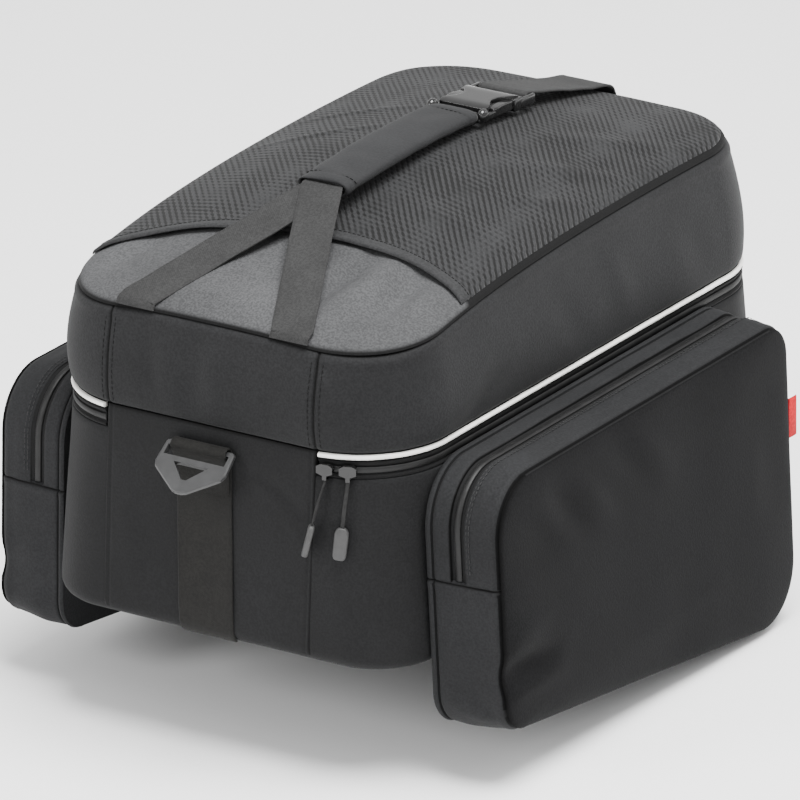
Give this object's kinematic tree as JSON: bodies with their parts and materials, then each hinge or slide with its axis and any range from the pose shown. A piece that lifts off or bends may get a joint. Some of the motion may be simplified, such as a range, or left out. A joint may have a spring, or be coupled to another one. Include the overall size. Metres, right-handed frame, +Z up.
{
  "type": "bicycle trunk bag",
  "caption": "Bicycle rack trunk bag with a zipped padded lid, hanging zipped side pockets, a strap handle with a side release buckle and a D-ring on its front",
  "frame": {"origin": "the middle of the base's underside, where the bag sits on its rack", "axes": "+Z up, +Y towards the bag's back, -Y towards its front with the D-ring, +X to the side that carries the red tab"},
  "size_m": [0.364, 0.4522, 0.3218],
  "materials": {
    "body_tub": "matte",
    "lid_hinge_panel": "matte",
    "main_zip": "matte",
    "reflective_piping": "satin",
    "lid_wall": "matte",
    "lid_top_panel": "matte",
    "mesh_cover": "matte",
    "mesh_binding": "matte",
    "y_strap_left": "matte",
    "y_strap_right": "matte",
    "handle_sleeve": "matte",
    "buckle_plug": "satin",
    "buckle_socket": "gloss",
    "rear_strap": "matte",
    "front_webbing": "matte",
    "d_ring": "satin",
    "zip_slider_left": "satin",
    "zip_slider_right": "satin",
    "pull_cord_left": "matte",
    "pull_cord_right": "matte",
    "pull_grip_left": "matte",
    "pull_grip_right": "matte",
    "pocket_right": "matte",
    "pocket_left": "matte",
    "pocket_zip_right": "matte",
    "pocket_zip_left": "matte",
    "pocket_slider_right": "satin",
    "pocket_slider_left": "satin",
    "side_tag": "matte"
  },
  "bodies": {
    "bag": {"body_tub": "body_tub", "lid_hinge_panel": "lid_hinge_panel", "main_zip": "main_zip", "reflective_piping": "reflective_piping", "lid_wall": "lid_wall", "lid_top_panel": "lid_top_panel", "mesh_cover": "mesh_cover", "mesh_binding": "mesh_binding", "y_strap_left": "y_strap_left", "y_strap_right": "y_strap_right", "handle_sleeve": "handle_sleeve", "buckle_plug": "buckle_plug", "buckle_socket": "buckle_socket", "rear_strap": "rear_strap", "front_webbing": "front_webbing", "zip_slider_left": "zip_slider_left", "zip_slider_right": "zip_slider_right", "pull_cord_left": "pull_cord_left", "pull_cord_right": "pull_cord_right", "pull_grip_left": "pull_grip_left", "pull_grip_right": "pull_grip_right", "pocket_right": "pocket_right", "pocket_left": "pocket_left", "pocket_zip_right": "pocket_zip_right", "pocket_zip_left": "pocket_zip_left", "pocket_slider_right": "pocket_slider_right", "pocket_slider_left": "pocket_slider_left", "side_tag": "side_tag"},
    "ring": {"d_ring": "d_ring"}
  },
  "joints": [
    {"name": "d_ring_swing", "type": "hinge", "parent": "bag", "child": "ring", "pos_m": [-0.0043, -0.21486, 0.119], "axis": [-1, 0, 0], "range_deg": [-28, 95]}
  ]
}
